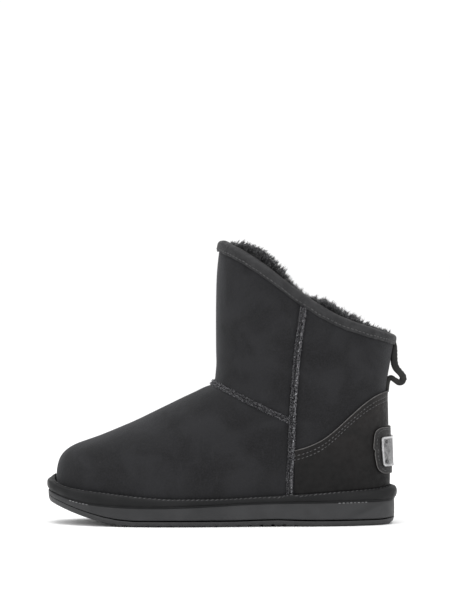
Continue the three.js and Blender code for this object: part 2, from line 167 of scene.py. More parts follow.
def side_route(tree, rows, low, high, side, step=0.5):
    """Route up one side of the boot, with its length along the boot from a table by height."""
    route = []
    for height in np.arange(low, high, step):
        x = TOE_X + curve_value(rows, height) * MM
        place, normal = cast(tree, Vector((x, side * REACH, height * MM)), (0, -side, 0))
        if place is not None:
            route.append((place, normal))
    return route


def spaced(route, pitch, closed=False):
    """The same route with points an even pitch apart, leaving out places that were missed."""
    route = [(place, normal) for place, normal in route if place is not None]
    places = [place for place, _ in route]
    normals = [normal for _, normal in route]
    if closed:
        places.append(places[0])
        normals.append(normals[0])
    places = np.array(places)
    normals = np.array(normals)
    steps = np.linalg.norm(np.diff(places, axis=0), axis=1)
    run = np.concatenate([[0], np.cumsum(steps)])
    count = max(2, round(run[-1] / pitch))
    marks = np.linspace(0, run[-1], count + 1)
    if closed:
        marks = marks[:-1]
    made = []
    for mark in marks:
        place = Vector([np.interp(mark, run, places[:, k]) for k in range(3)])
        normal = Vector([np.interp(mark, run, normals[:, k]) for k in range(3)]).normalized()
        made.append((place, normal))
    return made


def softened(route, passes=3):
    """The same route with its normals evened out."""
    for _ in range(passes):
        normals = [normal for _, normal in route]
        evened = []
        for i, (place, normal) in enumerate(route):
            near = normals[max(i - 1, 0)] + normal * 2 + normals[min(i + 1, len(route) - 1)]
            evened.append((place, near.normalized()))
        route = evened
    return route


# ---- Mesh work -----------------------------------------------------------------------------

def select_only(piece):
    for other in bpy.context.selected_objects:
        other.select_set(False)
    piece.select_set(True)
    bpy.context.view_layer.objects.active = piece


def apply_modifiers(piece):
    select_only(piece)
    for modifier in list(piece.modifiers):
        bpy.ops.object.modifier_apply(modifier=modifier.name)


def smooth_shade(piece, degrees=180.0):
    select_only(piece)
    if degrees >= 180.0:
        bpy.ops.object.shade_smooth()
    else:
        bpy.ops.object.shade_smooth_by_angle(angle=math.radians(degrees))


def mesh_piece(name, points, faces):
    mesh = bpy.data.meshes.new(name)
    mesh.from_pydata([tuple(point) for point in points], [], faces)
    mesh.update()
    piece = bpy.data.objects.new(name, mesh)
    bpy.context.scene.collection.objects.link(piece)
    return piece


def points_of(piece):
    flat = np.empty(len(piece.data.vertices) * 3)
    piece.data.vertices.foreach_get("co", flat)
    return flat.reshape(-1, 3)


def normals_of(piece):
    flat = np.empty(len(piece.data.vertices) * 3)
    piece.data.vertex_normals.foreach_get("vector", flat)
    return flat.reshape(-1, 3)


def set_points(piece, points):
    piece.data.vertices.foreach_set("co", np.asarray(points).reshape(-1))
    piece.data.update()


def squarest(faces):
    """The triangle whose corner facing its longest edge is nearest to a right angle."""
    best = None
    for face in faces:
        longest = max(face.edges, key=lambda edge: edge.calc_length())
        corner = next(v for v in face.verts if v not in longest.verts)
        arms = [(v.co - corner.co).normalized() for v in longest.verts]
        skew = abs(arms[0].dot(arms[1]))
        if best is None or skew < best[0]:
            best = (skew, face, longest)
    return best[1], best[2]


def diagonals_of(faces):
    """Edges that split the four-sided faces of a woven run of triangles."""
    allowed = set(faces)
    seed, edge = squarest(faces)
    diagonal = {seed: edge}
    waiting = [seed]
    while waiting:
        face = waiting.pop()
        own = diagonal[face]
        for edge in face.edges:
            for other in edge.link_faces:
                if other not in allowed or other in diagonal:
                    continue
                if edge == own:
                    diagonal[other] = own
                else:
                    pivot = next(v for v in edge.verts if v not in own.verts)
                    tip = next(v for v in other.verts if v not in edge.verts)
                    diagonal[other] = next(
                        e for e in other.edges if pivot in e.verts and tip in e.verts)
                waiting.append(other)
    return list(dict.fromkeys(diagonal.values()))


def merged_copy(node, name, woven="all"):
    """Copy of a frame node with its points merged and its triangles paired into four-sided faces."""
    piece = bpy.data.objects.new(name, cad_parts[node].data.copy())
    bpy.context.scene.collection.objects.link(piece)
    piece.data.name = name
    piece.data.materials.clear()
    if "custom_normal" in piece.data.attributes:
        piece.data.attributes.remove(piece.data.attributes["custom_normal"])
    mesh = bmesh.new()
    mesh.from_mesh(piece.data)
    bmesh.ops.remove_doubles(mesh, verts=mesh.verts, dist=MERGE)
    if woven != "none":
        faces = [face for face in mesh.faces if woven == "all" or abs(face.normal.z) < 0.82]
        edges = diagonals_of(faces)
        bmesh.ops.dissolve_edges(mesh, edges=edges, use_verts=False)
        rest = [face for face in mesh.faces if len(face.verts) == 3]
        bmesh.ops.join_triangles(mesh, faces=rest, angle_face_threshold=math.pi,
                                 angle_shape_threshold=math.pi)
    mesh.to_mesh(piece.data)
    mesh.free()
    return piece


# How far a point may be moved out against the shrinking of a smoothed piece.
LONGEST_HOLD = 0.6 * MM


def subdivided(piece, levels, hold=0):
    """Smooths a piece. hold is how often its points are first moved out against the shrinking."""
    wanted = points_of(piece)
    for _ in range(hold):
        trial = bpy.data.objects.new("trial", piece.data.copy())
        bpy.context.scene.collection.objects.link(trial)
        subdivided(trial, levels)
        reached = points_of(trial)[:len(wanted)]
        bpy.data.objects.remove(trial)
        shift = points_of(piece) + 0.8 * (wanted - reached) - wanted
        length = np.linalg.norm(shift, axis=1, keepdims=True)
        shift *= np.minimum(1, LONGEST_HOLD / np.maximum(length, 1e-9))
        set_points(piece, wanted + shift)
    modifier = piece.modifiers.new("smooth", "SUBSURF")
    modifier.levels = levels
    modifier.render_levels = levels
    apply_modifiers(piece)
    smooth_shade(piece)


def rounded_edges(piece, width, degrees, segments=2):
    modifier = piece.modifiers.new("rounded", "BEVEL")
    modifier.width = width
    modifier.segments = segments
    modifier.limit_method = "ANGLE"
    modifier.angle_limit = math.radians(degrees)
    apply_modifiers(piece)


def thickened(piece, thickness, rim_material=0):
    modifier = piece.modifiers.new("thick", "SOLIDIFY")
    modifier.thickness = thickness
    modifier.offset = 1
    modifier.material_offset_rim = rim_material
    apply_modifiers(piece)


def grid_piece(name, rows):
    """A sheet through rows of points."""
    width = len(rows[0])
    faces = []
    for r in range(len(rows) - 1):
        for c in range(width - 1):
            a = r * width + c
            faces.append((a, a + 1, a + width + 1, a + width))
    return mesh_piece(name, [point for row in rows for point in row], faces)


def frames_along(route, closed=False):
    """Place, direction, sideways and normal of each point of a route."""
    count = len(route)
    made = []
    for i, (place, normal) in enumerate(route):
        ahead = route[(i + 1) % count][0] if closed else route[min(i + 1, count - 1)][0]
        behind = route[i - 1][0] if closed else route[max(i - 1, 0)][0]
        along = (ahead - behind).normalized()
        across = normal.cross(along).normalized()
        made.append((place, along, across, across.cross(along).normalized() * -1))
    return made


def swept(name, route, section, wander=0.0, grain=900.0):
    """A closed strip along a route. section is a closed row of (sideways, height) points."""
    points = []
    for place, along, across, normal in frames_along(route):
        for sideways, height in section:
            point = place + across * sideways + normal * height
            if height > 0:
                jitter = noise.noise_vector(point * grain) * wander
                point = point + jitter
            points.append(point)
    width = len(section)
    faces = []
    for r in range(len(route) - 1):
        for c in range(width):
            a = r * width + c
            b = r * width + (c + 1) % width
            faces.append((a, b, b + width, a + width))
    faces.append(tuple(range(width))[::-1])
    last = (len(route) - 1) * width
    faces.append(tuple(last + c for c in range(width)))
    piece = mesh_piece(name, points, faces)
    outward_normals(piece)
    smooth_shade(piece)
    return piece


def disc(radius, count=8):
    """A round section for swept()."""
    angles = [2 * math.pi * k / count for k in range(count)]
    return [(radius * math.cos(angle), radius * math.sin(angle)) for angle in angles]


def outward_normals(piece):
    mesh = bmesh.new()
    mesh.from_mesh(piece.data)
    bmesh.ops.recalc_face_normals(mesh, faces=mesh.faces)
    mesh.to_mesh(piece.data)
    mesh.free()


def ordered(shape):
    """A shape's points and faces, in an order that is the same in each run."""
    points = points_of(shape)
    order = np.lexsort(points.round(9).T)
    rank = np.argsort(order)
    faces = []
    for face in shape.data.polygons:
        corners = [int(rank[v]) for v in face.vertices]
        first = corners.index(min(corners))
        faces.append(tuple(corners[first:] + corners[:first]))
    return points[order], sorted(faces)


def repeated(name, shape, places):
    """One joined mesh with a copy of a shape at each place, given as matrices."""
    base, faces = ordered(shape)
    points = []
    joined = []
    for i, matrix in enumerate(places):
        turn = np.array(matrix.to_3x3())
        points.append(base @ turn.T + np.array(matrix.translation))
        joined += [tuple(v + i * len(base) for v in face) for face in faces]
    piece = mesh_piece(name, np.concatenate(points), joined)
    smooth_shade(piece)
    return piece


def stitch_shape(length, radius):
    """A stitch as it shows between two needle holes, lying along X."""
    bpy.ops.object.select_all(action="DESELECT")
    bpy.ops.mesh.primitive_uv_sphere_add(segments=8, ring_count=6, radius=1.0)
    shape = bpy.context.object
    bpy.ops.object.mode_set(mode="EDIT")
    bpy.ops.mesh.select_all(action="SELECT")
    bpy.ops.transform.rotate(value=math.pi / 2, orient_axis="Y", center_override=(0, 0, 0))
    bpy.ops.transform.resize(value=(length / 2, radius, radius * 0.85))
    bpy.ops.object.mode_set(mode="OBJECT")
    return shape


def matrices_along(route, turn=0.0, closed=False):
    made = []
    for place, along, across, normal in frames_along(route, closed):
        matrix = Matrix((along, across, normal)).transposed().to_4x4()
        matrix = matrix @ Matrix.Rotation(turn, 4, "Z")
        matrix.translation = place
        made.append(matrix)
    return made


def stitched(name, routes, length, radius, turn=0.0, closed=False):
    shape = stitch_shape(length, radius)
    places = [m for route in routes for m in matrices_along(route, turn, closed)]
    piece = repeated(name, shape, places)
    bpy.data.objects.remove(shape)
    return piece


def tufts(name, roots, leans, lengths, per_tuft, spread, tip_spread, radius, seed):
    """Tufts of tapering wool fibres whose tips draw together, joined in one mesh."""
    rng = np.random.default_rng(seed)
    count = len(roots)
    total = count * per_tuft
    scatter = rng.normal(size=(count, per_tuft, 3)) * spread
    inwards = leans / np.linalg.norm(leans, axis=1, keepdims=True)
    scatter -= (scatter * inwards[:, None]).sum(axis=2, keepdims=True) * inwards[:, None]
    root = (roots[:, None] + scatter).reshape(total, 3)
    reach = (lengths[:, None] * rng.uniform(0.72, 1.12, size=(count, per_tuft)))[..., None]
    tip = roots[:, None] + inwards[:, None] * reach + rng.normal(size=(count, per_tuft, 3)) * tip_spread
    tip = tip.reshape(total, 3)
    bow = rng.normal(size=(total, 3)) * np.linalg.norm(tip - root, axis=1, keepdims=True) * 0.09
    middle = root * 0.48 + tip * 0.52 + bow
    along = (tip - root) / np.linalg.norm(tip - root, axis=1, keepdims=True)
    helper = np.where(np.abs(along[:, 2:3]) < 0.8, [[0.0, 0.0, 1.0]], [[1.0, 0.0, 0.0]])
    side = np.cross(along, helper)
    side /= np.linalg.norm(side, axis=1, keepdims=True)
    other = np.cross(along, side)
    points = np.empty((total, 7, 3))
    for k in range(3):
        angle = 2 * math.pi * k / 3
        spoke = (side * math.cos(angle) + other * math.sin(angle)) * radius
        points[:, k] = root + spoke
        points[:, 3 + k] = middle + spoke * 0.75
    points[:, 6] = tip
    first = np.arange(total)[:, None] * 7
    walls = np.concatenate([first + [k, (k + 1) % 3, 3 + (k + 1) % 3, 3 + k] for k in range(3)])
    ends = np.concatenate([first + [0, 2, 1]] + [first + [3 + k, 3 + (k + 1) % 3, 6] for k in range(3)])
    piece = mesh_piece(name, points.reshape(-1, 3), walls.tolist() + ends.tolist())
    smooth_shade(piece)
    return piece


# ---- Finishes ------------------------------------------------------------------------------

def node(tree, kind, inputs=None, **settings):
    made = tree.nodes.new(kind)
    for name, value in settings.items():
        setattr(made, name, value)
    for socket, value in (inputs or {}).items():
        if isinstance(value, bpy.types.NodeSocket):
            tree.links.new(value, made.inputs[socket])
        else:
            made.inputs[socket].default_value = value
    return made


class Finish:
    """A material under construction, with its pattern measured in object space."""

    def __init__(self, name, roughness, specular=0.3, metallic=0.0, sheen=None):
        self.material = bpy.data.materials.new(name)
        self.material.use_nodes = True
        self.tree = self.material.node_tree
        self.shader = self.tree.nodes["Principled BSDF"]
        self.shader.inputs["Roughness"].default_value = roughness
        self.shader.inputs["Specular IOR Level"].default_value = specular
        self.shader.inputs["Metallic"].default_value = metallic
        if sheen:
            weight, spread, tint = sheen
            self.shader.inputs["Sheen Weight"].default_value = weight
            self.shader.inputs["Sheen Roughness"].default_value = spread
            self.shader.inputs["Sheen Tint"].default_value = (*tint, 1)
        self.place = node(self.tree, "ShaderNodeTexCoord").outputs["Object"]
        self.normal = None

    def stretched(self, scale, turn=(0, 0, 0)):
        inputs = {"Vector": self.place, "Scale": scale, "Rotation": turn}
        return node(self.tree, "ShaderNodeMapping", inputs).outputs["Vector"]

    def speckle(self, size, detail=3.0, rough=0.55, place=None, warp=0.0):
        """Cloudy noise with lumps of about a size in metres."""
        inputs = {"Vector": place or self.place, "Scale": 1.0 / size, "Detail": detail,
                  "Roughness": rough, "Distortion": warp}
        return node(self.tree, "ShaderNodeTexNoise", inputs).outputs["Fac"]

    def cells(self, size, feature="F1", place=None):
        inputs = {"Vector": place or self.place, "Scale": 1.0 / size}
        made = node(self.tree, "ShaderNodeTexVoronoi", inputs, feature=feature)
        return made.outputs["Distance"]

    def ramp(self, value, low, high, to_low=0.0, to_high=1.0):
        inputs = {"Value": value, "From Min": low, "From Max": high, "To Min": to_low, "To Max": to_high}
        return node(self.tree, "ShaderNodeMapRange", inputs, interpolation_type="SMOOTHSTEP").outputs["Result"]

    def mix(self, share, first, second):
        made = node(self.tree, "ShaderNodeMix", data_type="RGBA")
        for socket, value in ((made.inputs[0], share), (made.inputs[6], first), (made.inputs[7], second)):
            if isinstance(value, bpy.types.NodeSocket):
                self.tree.links.new(value, socket)
            else:
                socket.default_value = (*value, 1) if isinstance(value, tuple) else value
        return made.outputs[2]

    def math(self, operation, first, second):
        made = node(self.tree, "ShaderNodeMath", operation=operation)
        for socket, value in zip(made.inputs, (first, second)):
            if isinstance(value, bpy.types.NodeSocket):
                self.tree.links.new(value, socket)
            else:
                socket.default_value = value
        return made.outputs[0]

    def axis(self, name):
        return node(self.tree, "ShaderNodeSeparateXYZ", {"Vector": self.place}).outputs[name]

    def bump(self, height, depth, strength=1.0):
        inputs = {"Height": height, "Distance": depth, "Strength": strength}
        if self.normal:
            inputs["Normal"] = self.normal
        self.normal = node(self.tree, "ShaderNodeBump", inputs).outputs["Normal"]

    def done(self, color, roughness=None):
        self.tree.links.new(color, self.shader.inputs["Base Color"])
        if roughness is not None:
            self.tree.links.new(roughness, self.shader.inputs["Roughness"])
        if self.normal:
            self.tree.links.new(self.normal, self.shader.inputs["Normal"])
        return self.material


def suede_finish():
    suede = Finish("charcoal_suede", 0.92, specular=0.12, sheen=(0.12, 0.45, (0.75, 0.76, 0.79)))
    brushed = suede.ramp(suede.speckle(0.035, detail=4, warp=0.6), 0.38, 0.66)
    color = suede.mix(brushed, (0.0105, 0.0105, 0.0112), (0.0175, 0.0176, 0.0190))
    nap = suede.ramp(suede.speckle(0.0011, detail=4, rough=0.7), 0.35, 0.72)
    color = suede.mix(suede.math("MULTIPLY", nap, 0.45), color, (0.024, 0.024, 0.026))
    strokes = suede.speckle(0.004, detail=3, place=suede.stretched((1.0, 1.0, 0.22), (0, 0.25, 0)))
    color = suede.mix(suede.ramp(strokes, 0.60, 0.80, 0, 0.35), color, (0.027, 0.027, 0.029))
    rubbed = suede.ramp(suede.cells(0.021), 0.045, 0.02, 0, 0.5)
    color = suede.mix(rubbed, color, (0.033, 0.033, 0.035))
    suede.bump(suede.speckle(0.009, detail=2), 0.0006, 0.45)
    suede.bump(suede.speckle(0.0007, detail=4, rough=0.75), 0.00022, 0.8)
    return suede.done(color)


def counter_finish():
    hide = Finish("smooth_counter_leather", 0.66, specular=0.16)
    cloud = hide.ramp(hide.speckle(0.026, detail=3, warp=0.4), 0.4, 0.62)
    color = hide.mix(cloud, (0.0080, 0.0074, 0.0074), (0.0132, 0.0117, 0.0115))
    # Painted shade: the counter is painted darker towards its foot, where less light falls.
    color = hide.mix(hide.ramp(hide.axis("Z"), 0.030, 0.090, 0.85, 0), color, (0.0030, 0.0029, 0.0030))
    worn = hide.ramp(hide.speckle(0.006, detail=5, rough=0.7), 0.62, 0.82, 0, 0.5)
    color = hide.mix(worn, color, (0.022, 0.0195, 0.0185))
    pores = hide.cells(0.00095, feature="DISTANCE_TO_EDGE")
    hide.bump(hide.speckle(0.007, detail=3), 0.0005, 0.4)
    hide.bump(hide.ramp(pores, 0.0, 0.22), 0.00009, 0.7)
    return hide.done(color, hide.ramp(hide.speckle(0.004, detail=4), 0.3, 0.7, 0.5, 0.7))


def binding_finish(name, dark, light, roughness):
    hide = Finish(name, roughness, specular=0.26)
    cloud = hide.ramp(hide.speckle(0.012, detail=4, warp=0.5), 0.36, 0.66)
    color = hide.mix(cloud, dark, light)
    worn = hide.ramp(hide.speckle(0.0022, detail=4, rough=0.7), 0.62, 0.8, 0, 0.6)
    color = hide.mix(worn, color, tuple(2.1 * part for part in light))
    wrinkle = hide.speckle(0.0032, detail=4, place=hide.stretched((1.5, 1.5, 0.6)), warp=0.8)
    hide.bump(wrinkle, 0.0006, 0.5)
    hide.bump(hide.ramp(hide.cells(0.0008, feature="DISTANCE_TO_EDGE"), 0, 0.2), 0.00008, 0.6)
    low, high = roughness - 0.1, roughness + 0.1
    return hide.done(color, hide.ramp(hide.speckle(0.003, detail=4), 0.3, 0.7, low, high))


def edge_finish():
    edge = Finish("cut_leather_edge", 0.8, specular=0.3)
    fibre = edge.ramp(edge.speckle(0.0007, detail=4, rough=0.7), 0.35, 0.7)
    edge.bump(edge.speckle(0.0005, detail=3), 0.0001, 0.8)
    return edge.done(edge.mix(fibre, (0.052, 0.050, 0.049), (0.125, 0.121, 0.118)))


def pelt_edge_finish(name, light, fleck):
    pelt = Finish(name, 0.95, specular=0.15, sheen=(0.2, 0.4, (0.8, 0.8, 0.85)))
    lump = pelt.ramp(pelt.speckle(0.0017, detail=4, rough=0.7, warp=0.5), 0.44, 0.64)
    color = pelt.mix(lump, (0.005, 0.005, 0.006), (light, light, 1.06 * light))
    bright = pelt.ramp(pelt.speckle(0.0011, detail=3, rough=0.7), 0.56, 0.68, 0, 0.9)
    color = pelt.mix(bright, color, (fleck, fleck, 1.04 * fleck))
    pelt.bump(pelt.speckle(0.0009, detail=5, rough=0.75), 0.0006, 0.9)
    return pelt.done(color)


def wool_finish(name, dark, light, size=0.005):
    wool = Finish(name, 0.9, specular=0.12, sheen=(0.08, 0.4, (0.7, 0.7, 0.72)))
    lock = wool.ramp(wool.speckle(size, detail=4, rough=0.6), 0.35, 0.66)
    color = wool.mix(lock, dark, light)
    wool.bump(wool.speckle(0.0007, detail=3), 0.0003, 0.6)
    return wool.done(color)


def thread_finish(name, dark, light):
    thread = Finish(name, 0.55, specular=0.4)
    ply = node(thread.tree, "ShaderNodeTexWave",
               {"Vector": thread.place, "Scale": 900.0, "Distortion": 2.5, "Detail": 2.0},
               bands_direction="DIAGONAL").outputs["Fac"]
    cloud = thread.ramp(thread.speckle(0.0016, detail=2), 0.36, 0.64)
    thread.bump(ply, 0.00012, 0.8)
    return thread.done(thread.mix(cloud, dark, light))


def foam_finish(name, tone, specular):
    """Moulded foam rubber; tone is how light it is next to the sole's sides."""
    foam = Finish(name, 0.52, specular=specular)

    def shade(*parts):
        return tuple(part * tone for part in parts)

    cloud = foam.ramp(foam.speckle(0.03, detail=3), 0.36, 0.66)
    color = foam.mix(cloud, shade(0.0180, 0.0184, 0.0195), shade(0.0260, 0.0264, 0.0278))
    dust = foam.ramp(foam.speckle(0.0014, detail=5, rough=0.75), 0.60, 0.80, 0, 0.5)
    color = foam.mix(dust, color, shade(0.050, 0.050, 0.052))
    # Painted highlight: below a line that rises towards the heel, the foam is painted lighter, standing in for a
    # soft reflection on the heel's side.
    slope = foam.math("MULTIPLY", foam.math("SUBTRACT", foam.axis("X"), TOE_X + 221 * MM), 0.41)
    above = foam.math("SUBTRACT", foam.axis("Z"), slope)
    color = foam.mix(foam.ramp(above, 0.0040, 0.0005, 0, 0.5), color, shade(0.038, 0.0385, 0.040))
    flow = foam.speckle(0.006, detail=3, place=foam.stretched((0.35, 0.35, 2.0)))
    foam.bump(flow, 0.0004, 0.35)
    foam.bump(foam.speckle(0.0006, detail=3, rough=0.6), 0.00006, 0.7)
    return foam.done(color, foam.ramp(foam.speckle(0.009, detail=5), 0.3, 0.7, 0.44, 0.62))


def rubber_finish():
    rubber = Finish("tread_rubber", 0.6, specular=0.4)
    dust = rubber.ramp(rubber.speckle(0.003, detail=6, rough=0.7), 0.45, 0.75)
    color = rubber.mix(dust, (0.0175, 0.0178, 0.0188), (0.034, 0.034, 0.035))
    rubber.bump(rubber.speckle(0.0008, detail=3), 0.0001, 0.6)
    pattern = rubber.cells(0.0042, feature="DISTANCE_TO_EDGE")
    rubber.bump(rubber.ramp(pattern, 0.02, 0.1), 0.0003, 0.35)
    return rubber.done(color, rubber.ramp(dust, 0, 1, 0.5, 0.75))


def pewter_finish(name, dark, light, tarnish):
    plate = Finish(name, 0.4, specular=0.5, metallic=1.0)
    lines = plate.speckle(0.0006, detail=4, rough=0.7, place=plate.stretched((1, 0.06, 1.6)))
    color = plate.mix(plate.ramp(lines, 0.3, 0.7), dark, light)
    stain = plate.ramp(plate.speckle(0.0042, detail=5, rough=0.7, warp=0.6), 0.46, 0.60, 0, tarnish)
    color = plate.mix(stain, color, (0.022, 0.022, 0.023))
    plate.bump(plate.speckle(0.003, detail=4), 0.0004, 0.5)
    plate.bump(lines, 0.00006, 0.5)
    return plate.done(color, plate.ramp(lines, 0.3, 0.7, 0.3, 0.52))


def rivet_finish():
    rivet = Finish("dark_rivet", 0.38, specular=0.5, metallic=1.0)
    worn = rivet.ramp(rivet.speckle(0.0009, detail=4), 0.4, 0.7)
    rivet.bump(rivet.speckle(0.0004, detail=3), 0.00004, 0.5)
    return rivet.done(rivet.mix(worn, (0.05, 0.05, 0.052), (0.17, 0.17, 0.17)))


suede = suede_finish()
counter_leather = counter_finish()
binding_leather = binding_finish("binding_leather", (0.0125, 0.0125, 0.0134), (0.0205, 0.0205, 0.0216), 0.62)
patch_leather = binding_finish("patch_leather", (0.0075, 0.0072, 0.0072), (0.0135, 0.0130, 0.0130), 0.52)
strap_leather = binding_finish("strap_leather", (0.0105, 0.0105, 0.0100), (0.0185, 0.0182, 0.0170), 0.55)
leather_edge = edge_finish()
# The seams' raw pelt edge comes as a shaded and a lit copy of one finish: the lit copy is a painted highlight,
# lighter and with bright flecks, and the shaded copy is painted shade.
painted_shade_pelt_edge = pelt_edge_finish("painted_shade_pelt_edge", 0.04, 0.11)
painted_light_pelt_edge = pelt_edge_finish("painted_light_pelt_edge", 0.13, 0.58)
lining_wool = wool_finish("lining_wool", (0.0040, 0.0040, 0.0043), (0.0150, 0.0150, 0.0157))
rim_wool = wool_finish("rim_wool", (0.0035, 0.0035, 0.0038), (0.034, 0.034, 0.035), 0.0016)
tip_wool = wool_finish("tip_wool", (0.010, 0.010, 0.0105), (0.150, 0.150, 0.154), 0.0012)
seam_wool = wool_finish("seam_wool", (0.02, 0.02, 0.022), (0.33, 0.33, 0.345), 0.0014)
dark_thread = thread_finish("dark_thread", (0.022, 0.022, 0.023), (0.060, 0.060, 0.062))
grey_thread = thread_finish("grey_thread", (0.030, 0.030, 0.031), (0.095, 0.095, 0.098))
pale_thread = thread_finish("pale_thread", (0.085, 0.085, 0.088), (0.230, 0.230, 0.236))
side_foam = foam_finish("moulded_foam", 1.02, 0.3)
rim_foam = foam_finish("rim_foam", 0.4, 0.15)
tread_rubber = rubber_finish()
pewter_border = pewter_finish("pewter_border", (0.34, 0.34, 0.345), (0.62, 0.62, 0.625), 0.25)
pewter_field = pewter_finish("pewter_field", (0.14, 0.14, 0.143), (0.31, 0.31, 0.313), 0.55)
rivet_metal = rivet_finish()


def keep(piece, finish, slot, *nodes):
    """Gives a piece its finish and its place in the part."""
    if finish is not None:
        piece.data.materials.clear()
        piece.data.materials.append(finish)
    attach(piece, "root")
    if nodes:
        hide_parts(*nodes)
    return piece


# ---- The sole ------------------------------------------------------------------------------

def meet(piece, tree, direction):
    """Moves the points that face a neighbour across a hair gap until they touch it."""
    points = points_of(piece)
    aim = Vector(direction)
    for i, point in enumerate(points):
        place, _ = cast(tree, Vector(point) - aim * 0.2 * MM, aim, 0.9 * MM)
        if place is not None:
            points[i] = place
    set_points(piece, points)


def make_sole():
    outsole = merged_copy("outsole", "outsole_shaped", "none")
    outsole_tree = tree_of(outsole)
    rounded_edges(outsole, 0.3 * MM, 50)
    smooth_shade(outsole, 35)
    keep(outsole, tread_rubber, "outsole_rubber", "outsole")
    rim = merged_copy("rim_band", "rim_band_shaped")
    rim_low = tree_of(rim)
    subdivided(rim, 2, hold=2)
    keep(rim, rim_foam, "sole_foam", "rim_band")
    midsole = merged_copy("midsole", "midsole_shaped", "sides")
    meet(midsole, outsole_tree, (0, 0, -1))
    meet(midsole, rim_low, (0, 0, 1))
    subdivided(midsole, 2, hold=2)
    keep(midsole, side_foam, "sole_foam", "midsole")
    return rim, midsole


# Stretches along the boot where the groove's stitches come out into sight.
BARE_STITCHES = ((17, 34), (219, 243))
# The bead that fills the groove under the rim band.
GROOVE_BEAD = 1.3 * MM
GROOVE_INSET = 3.0 * MM


def sole_stitches(skin_tree, rim_tree, midsole_tree):
    """A slanted row where the upper meets the rim band, and a fine row in the groove under it."""
    angles = np.linspace(-math.pi, math.pi, 481)[:-1]
    lip = []
    groove = []
    bed = []
    for angle in angles:
        edge, brim = band_edge(rim_tree, angle)
        brim = Vector((brim.x, brim.y, 0)).normalized()
        place, normal = ring_point(skin_tree, SOLE_AXIS, angle, edge.z + 12 * MM)
        flat = Vector((normal.x, normal.y, 0)).normalized()
        above = place + flat * 2.3 * MM
        top, up = cast(rim_tree, Vector((above.x, above.y, 0.08)), (0, 0, -1))
        lip.append((top, up))
        under = edge - brim * 2.3 * MM
        bottom, _ = cast(rim_tree, Vector((under.x, under.y, 0)), (0, 0, 1))
        shoulder, facing = ring_point(midsole_tree, SOLE_AXIS, angle, bottom.z - 1.3 * MM)
        groove.append((shoulder, facing))
        seat = Vector((edge.x, edge.y, bottom.z - 0.2 * MM)) - brim * GROOVE_INSET
        bed.append((seat, Vector((0, 0, 1))))
    lip = spaced(lip, 3.6 * MM, closed=True)
    groove = spaced(groove, 3.0 * MM, closed=True)
    bed.append(bed[0])
    bead = swept("sole_groove_bead", softened(bed), disc(GROOVE_BEAD))
    keep(bead, rim_foam, "sole_foam")
    lip_row = stitched("rim_stitches", [lip], 2.9 * MM, 0.42 * MM, math.radians(24), closed=True)
    keep(lip_row, dark_thread, "sole_foam")
    bare = [hit for hit in groove if any(low < along(hit[0]) < high for low, high in BARE_STITCHES)]
    groove_row = stitched("groove_stitches", runs_of(bare, 4 * MM), 2.1 * MM, 0.38 * MM)
    keep(groove_row, pale_thread, "sole_foam")


def along(place):
    """Length along the boot, in millimetres, of a place."""
    return (place[0] - TOE_X) / MM


def runs_of(route, widest):
    """Splits a route wherever two of its points are further apart than widest."""
    runs = [[route[0]]]
    for before, here in zip(route, route[1:]):
        if (here[0] - before[0]).length > widest:
            runs.append([])
        runs[-1].append(here)
    return [run for run in runs if len(run) > 1]


def band_edge(tree, angle):
    """Outermost place of the rim band, and its normal, at an angle round the sole."""
    hits = [ring_point(tree, SOLE_AXIS, angle, height * MM) for height in range(14, 40)]
    hits = [hit for hit in hits if hit[0] is not None]
    return max(hits, key=lambda hit: (hit[0].xy - SOLE_AXIS.xy).length)


# ---- The upper -----------------------------------------------------------------------------

def mark_outside(piece):
    """The outer face keeps the first material; everything inside and on the rims has the second."""
    mesh = bmesh.new()
    mesh.from_mesh(piece.data)
    start = min(mesh.faces, key=lambda face: face.calc_center_median().y)
    for face in mesh.faces:
        face.material_index = 1
    start.material_index = 0
    waiting = [start]
    while waiting:
        face = waiting.pop()
        for edge in face.edges:
            for other in edge.link_faces:
                if other.material_index and edge.calc_face_angle(0) < math.radians(50):
                    other.material_index = 0
                    waiting.append(other)
    mesh.to_mesh(piece.data)
    mesh.free()


def seam_routes(tree):
    """Side seams and the instep seam on the upper's outer face."""
    sides = {}
    for side in (OUTER, INNER):
        sides[side] = softened(spaced(side_route(tree, SIDE_SEAM, 24, 166, side), 0.6 * MM))
    angles = np.radians(np.linspace(-91, -269, 240))
    vamp = trace(tree, SEAM_AXIS, angles, table_height(VAMP_SEAM))
    return sides, softened(spaced(vamp, 0.6 * MM))


def shape_upper(piece):
    """Draws the hide in beside its seams and presses soft folds into it."""
    tree = tree_of(piece)
    sides, vamp = seam_routes(tree)
    marks = [(place, 1.35) for side in sides.values() for place, _ in side]
    marks += [(place, 1.0) for place, _ in vamp]
    near = KDTree(len(marks))
    for i, (place, _) in enumerate(marks):
        near.insert(place, i)
    near.balance()
    points = points_of(piece)
    normals = normals_of(piece)
    outside = np.zeros(len(points), bool)
    for face in piece.data.polygons:
        if face.material_index == 0:
            outside[list(face.vertices)] = True
    shift = np.zeros(len(points))
    for i in np.flatnonzero(outside):
        _, mark, distance = near.find(Vector(points[i]))
        depth = marks[mark][1]
        shift[i] -= depth * MM * math.exp(-((distance / (3.3 * MM)) ** 2))
        swell = math.exp(-(((distance - 8.5 * MM) / (4.5 * MM)) ** 2))
        shift[i] += 0.35 * MM * swell
        shift[i] += 0.35 * MM * noise.noise(Vector(points[i]) * 38.0)
    for fold in SOFT_FOLDS:
        shift -= fold_depth(points, normals, fold) * outside
    set_points(piece, points + normals * shift[:, None])


